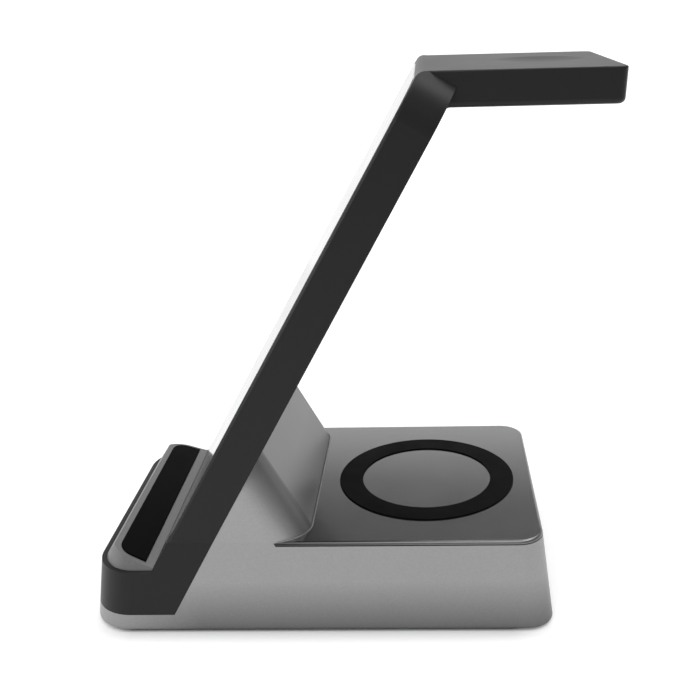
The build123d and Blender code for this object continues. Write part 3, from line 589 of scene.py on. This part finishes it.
def wedgeLip():
    look = lipLook
    slope, radius = math.radians(look["slope"]), look["round"]
    turn = np.radians(np.linspace(0, look["turn"], look["steps"]))
    climbed = radius * math.cos(slope) * (1 - np.cos(turn)) / math.sin(slope)
    endX = look["straight"] + radius * np.sin(turn)
    endY = look["foot"] - radius * math.sin(slope) * (1 - np.cos(turn)) - climbed * math.cos(slope)
    middleX = np.linspace(-look["straight"], look["straight"], look["steps"])[1:-1]
    lineX = np.concatenate([-endX[::-1], middleX, endX])
    lineY = np.concatenate([endY[::-1], np.full(len(middleX), look["foot"]), endY])
    # outward in plan is square to the line's own direction; the bead thins out to a point at both ends
    alongX, alongY = np.gradient(lineX), np.gradient(lineY)
    length = np.hypot(alongX, alongY)
    outX, outY = -alongY / length, alongX / length
    reach = np.linspace(-1, 1, len(lineX))
    bead = look["bead"] * np.sqrt(np.clip(1 - np.abs(reach) ** look["taper"], 0, 1))
    around = np.linspace(0, 2 * math.pi, look["sides"], endpoint=False)
    out = look["out"] + bead[:, None] * np.cos(around)[None, :]
    grid = np.empty((len(lineX), len(around), 3))
    grid[..., 0] = lineX[:, None] + outX[:, None] * out
    grid[..., 1] = lineY[:, None] + outY[:, None] * out
    grid[..., 2] = look["level"] + bead[:, None] * np.sin(around)[None, :]
    # the lip's flake paint is darker than the housing's: a painted shade that tones down the bead
    material, graph = newFinish("lipPaint")
    paint, rough, normal = flakePaint(graph, look)
    graph.close({"Base Color": paint, "Metallic": look["metal"], "Roughness": rough, "Normal": normal})
    lip = gridPiece("wedgeLip", grid, material, wrapped=True)
    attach(lip, "root")


wedgeLip()
print("pieces: wedge lip")

# Floor, and behind it a backdrop that sweeps up in a round cove. Both are sheets along Y.
stageLook = {
    "front": 3.0, "seam": -0.45, "behind": -0.80, "cove": 0.12, "coveSteps": 24, "height": 0.47, "half": 3.0,
    "fill": 0.25,
}
floorPaper = {"name": "floorPaper", "tone": 0.75, "glow": 0.42}
backPaper = {"name": "backPaper", "tone": 0.3, "glow": 1.0}
# the floor's glow is left out beside the base's sides and comes back in full a little way out: a painted
# shadow along the base
paintedFloorShadow = {"half": 0.0460, "reach": 0.007, "middle": -0.0082, "end": 0.0600, "past": 0.016}


def paperFinish(paper):
    material, graph = newFinish(paper["name"])
    rayKinds = ("Camera", "Glossy", "Transmission")
    rays = [graph.add("ShaderNodeLightPath", out="Is " + kind + " Ray") for kind in rayKinds]
    seen = rays[0].most(rays[1]).most(rays[2])
    diffuse = graph.add("ShaderNodeBsdfDiffuse", {}, {"Color": grey(paper["tone"])})
    # painted shadow: the glow turns black next to the base's sides, between its ends
    beside = (abs(graph.axis(0)) - paintedFloorShadow["half"]).climb(0, paintedFloorShadow["reach"])
    beyond = (abs(graph.axis(1) - paintedFloorShadow["middle"]) - paintedFloorShadow["end"]).climb(0, paintedFloorShadow["past"])
    tint = graph.mix((1 - beside) * (1 - beyond), (1, 1, 1, 1), (0, 0, 0, 1))
    glow = graph.add("ShaderNodeEmission", {}, {"Color": tint, "Strength": seen * paper["glow"]})
    both = graph.add("ShaderNodeAddShader", {}, {0: diffuse, 1: glow})
    graph.add("ShaderNodeOutputMaterial", {}, {"Surface": both})
    return material


def stageSheet(name, alongX, alongZ, paper):
    alongY = np.array([-stageLook["half"], stageLook["half"]])
    grid = np.empty((len(alongX), 2, 3))
    grid[..., 0] = alongX[:, None]
    grid[..., 1] = alongY[None, :]
    grid[..., 2] = alongZ[:, None]
    gridPiece(name, grid, paperFinish(paper))


turn = np.linspace(0, math.pi / 2, stageLook["coveSteps"])
coveX = stageLook["behind"] - stageLook["cove"] * np.sin(turn)
coveZ = stageLook["cove"] * (1 - np.cos(turn))
stageSheet("floorSheet", np.array([stageLook["front"], stageLook["seam"]]), np.zeros(2), floorPaper)
stageSheet(
    "backSheet",
    np.concatenate([[stageLook["seam"]], coveX, [coveX[-1]]]),
    np.concatenate([[0], coveZ, [stageLook["height"]]]),
    backPaper,
)

# Soft lamps: place, aim, size of the panel in metres, watts.
lamps = {
    "overhead": ((-0.20, 0.15, 0.95), (-0.20, 0.15, 0), 1.3, 8.5),
    "nearSide": ((0.55, -0.10, 0.60), (0.20, 0.02, 0), 0.5, 1.8),
    "leftSide": ((0.15, -0.90, 0.35), (0, 0, 0.08), 0.35, 1.6),
    "rightTop": ((0.06, 0.50, 0.90), (0, 0.02, 0.15), 0.3, 1.0),
}
for lampName, (place, aim, size, watts) in lamps.items():
    light = bpy.data.lights.new(lampName, "AREA")
    light.size = size
    light.energy = watts
    lamp = bpy.data.objects.new(lampName, light)
    lamp.location = place
    lamp.rotation_mode = "QUATERNION"
    lamp.rotation_quaternion = (Vector(aim) - Vector(place)).to_track_quat("-Z", "Y")
    bpy.context.scene.collection.objects.link(lamp)

world = bpy.data.worlds.new("studio")
world.use_nodes = True
studio = Graph(world.node_tree)
fill = studio.add("ShaderNodeBackground", {}, {"Color": (1, 1, 1, 1), "Strength": stageLook["fill"]})
studio.add("ShaderNodeOutputWorld", {}, {"Surface": fill})
bpy.context.scene.world = world
bpy.context.scene.view_settings.view_transform = "Standard"
print("stage: sheet, lamps and world")

# The photograph's view: place, a point that it looks at, roll in degrees, lens and shift.
cameraLook = {
    "place": (0.30925, 0.02724, 0.18940),
    "aim": (-0.00128, 0.01440, 0.07846),
    "roll": -1.63,
    "lens": 50.98,
    "shift": (-0.0576, -0.0071),
}
view = bpy.data.cameras.new("view")
view.lens = cameraLook["lens"]
view.shift_x, view.shift_y = cameraLook["shift"]
view.clip_start = 0.01
camera = bpy.data.objects.new("view", view)
sight = Vector(cameraLook["aim"]) - Vector(cameraLook["place"])
turned = sight.to_track_quat("-Z", "Y").to_matrix().to_4x4()
rolled = Matrix.Rotation(math.radians(cameraLook["roll"]), 4, "Z")
camera.matrix_world = Matrix.Translation(cameraLook["place"]) @ turned @ rolled
bpy.context.scene.collection.objects.link(camera)
bpy.context.scene.camera = camera
print("camera:", cameraLook["lens"], "mm")
